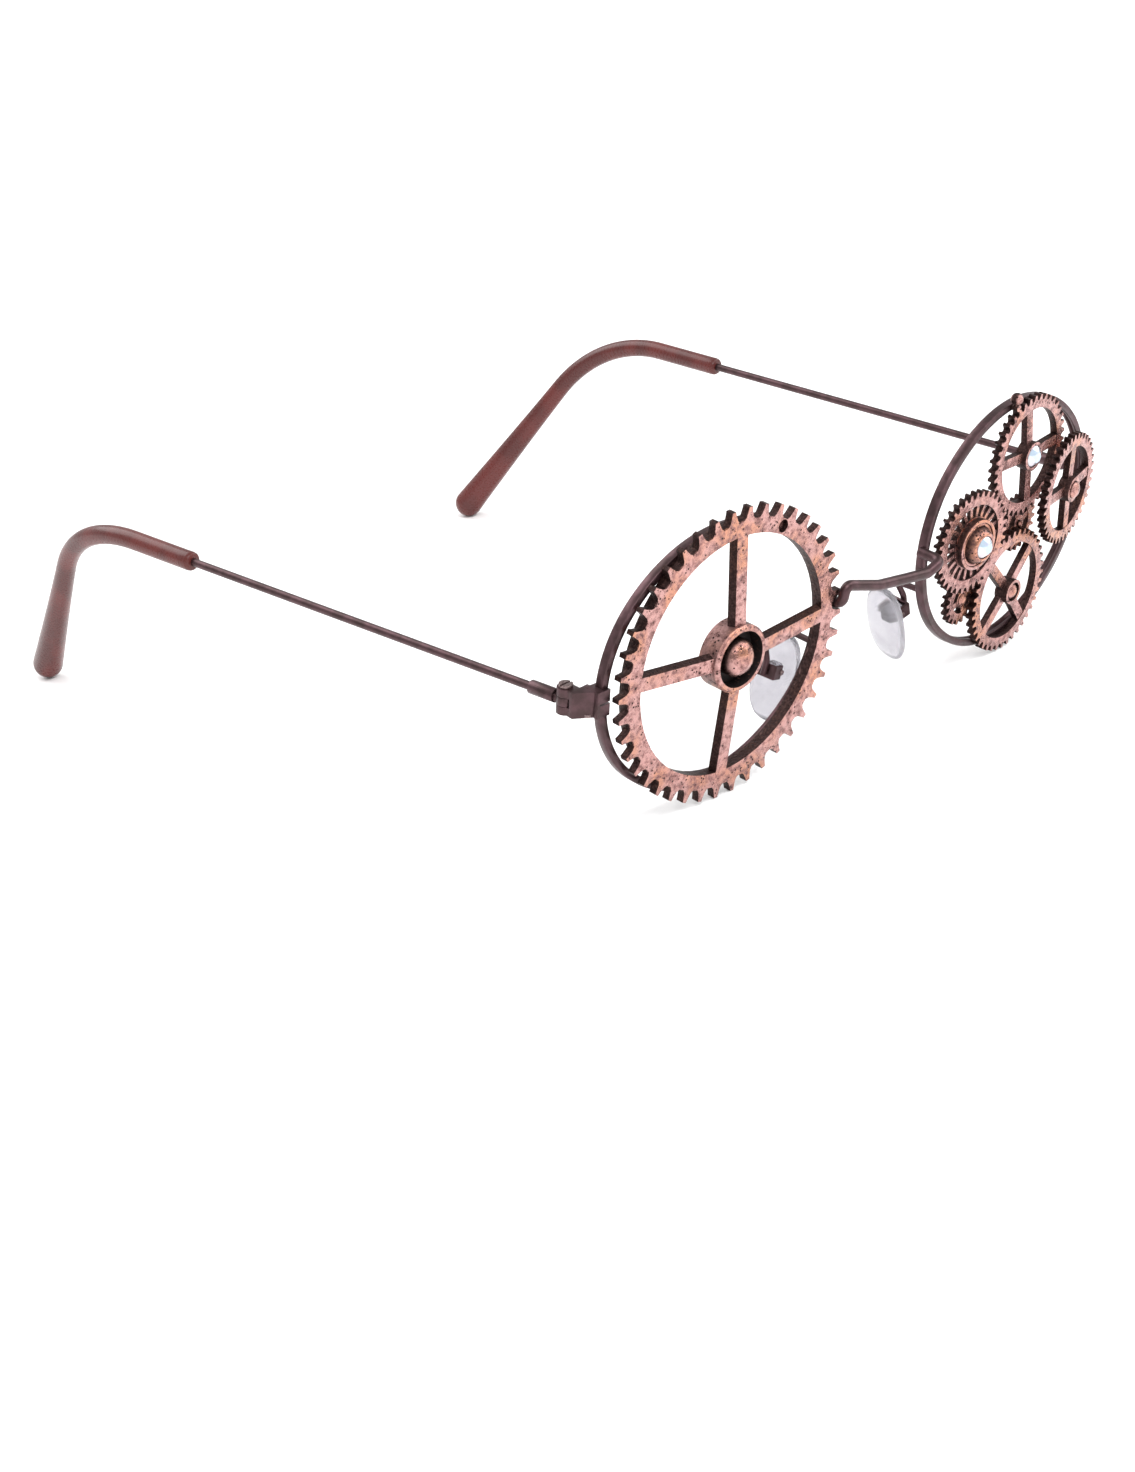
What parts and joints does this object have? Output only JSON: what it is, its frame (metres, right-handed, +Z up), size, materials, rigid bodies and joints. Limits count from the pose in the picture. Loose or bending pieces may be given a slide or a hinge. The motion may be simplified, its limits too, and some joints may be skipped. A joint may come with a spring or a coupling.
{
  "type": "spectacles",
  "caption": "Round wire spectacles with clock gears fixed to the rims, clear nose pads, and hinged temples with curved tips.",
  "frame": {"origin": "midway between the rims in the plane of their front faces, where the nose comes closest", "axes": "+X to the wearer's left, +Y back along the temples, +Z up from the table that the gears and temple tips stand on"},
  "size_m": [0.1297, 0.1479, 0.0457],
  "materials": {
    "frame_metal": "satin dark bronze lacquer",
    "antique_copper": "antiqued copper plate, dark in the recesses",
    "tip_plastic": "semi-gloss dark red-brown",
    "clear_pad": "clear soft plastic",
    "crystal": "cut and coated crystal",
    "screw_metal": "dark plated steel"
  },
  "bodies": {
    "frame": {"right_rim": "frame_metal", "left_rim": "frame_metal", "bridge_wire": "frame_metal", "right_end_piece": "frame_metal", "left_end_piece": "frame_metal", "right_closing_screw": "screw_metal", "left_closing_screw": "screw_metal", "right_hinge_screw": "screw_metal", "left_hinge_screw": "screw_metal", "right_pad_arm": "frame_metal", "left_pad_arm": "frame_metal", "right_pad_screw": "screw_metal", "left_pad_screw": "screw_metal", "big_gear": "antique_copper", "big_gear_rivet": "antique_copper", "top_gear": "antique_copper", "top_crystal": "crystal", "capped_gear": "antique_copper", "gear_cap": "antique_copper", "cap_crystal": "crystal", "outer_gear": "antique_copper", "outer_rivet": "antique_copper", "bottom_gear": "antique_copper", "bottom_rivet": "antique_copper", "little_gear": "antique_copper", "little_rivet": "antique_copper", "middle_gear": "antique_copper", "middle_rivet": "antique_copper", "ball_peg": "antique_copper"},
    "right_temple": {"right_temple_hinge": "frame_metal", "right_temple_wire": "frame_metal", "right_temple_tip": "tip_plastic"},
    "right_nose_pad": {"right_nose_pad": "clear_pad"},
    "left_temple": {"left_temple_hinge": "frame_metal", "left_temple_wire": "frame_metal", "left_temple_tip": "tip_plastic"},
    "left_nose_pad": {"left_nose_pad": "clear_pad"}
  },
  "joints": [
    {"name": "right_temple_fold", "type": "hinge", "parent": "frame", "child": "right_temple", "pos_m": [-0.0614, 0.00537, 0.00122], "axis": [0, 0.1771, -0.9842], "range_deg": [0, 83]},
    {"name": "left_temple_fold", "type": "hinge", "parent": "frame", "child": "left_temple", "pos_m": [0.0614, 0.00537, 0.00122], "axis": [0, -0.1771, 0.9842], "range_deg": [0, 85]},
    {"name": "right_pad_rock", "type": "hinge", "parent": "frame", "child": "right_nose_pad", "pos_m": [-0.01506, 0.00747, -0.01004], "axis": [-0.095, 0.9712, 0.2186], "range_deg": [-8, 8]},
    {"name": "left_pad_rock", "type": "hinge", "parent": "frame", "child": "left_nose_pad", "pos_m": [0.01506, 0.00747, -0.01004], "axis": [0.095, 0.9712, 0.2186], "range_deg": [-8, 8]}
  ]
}
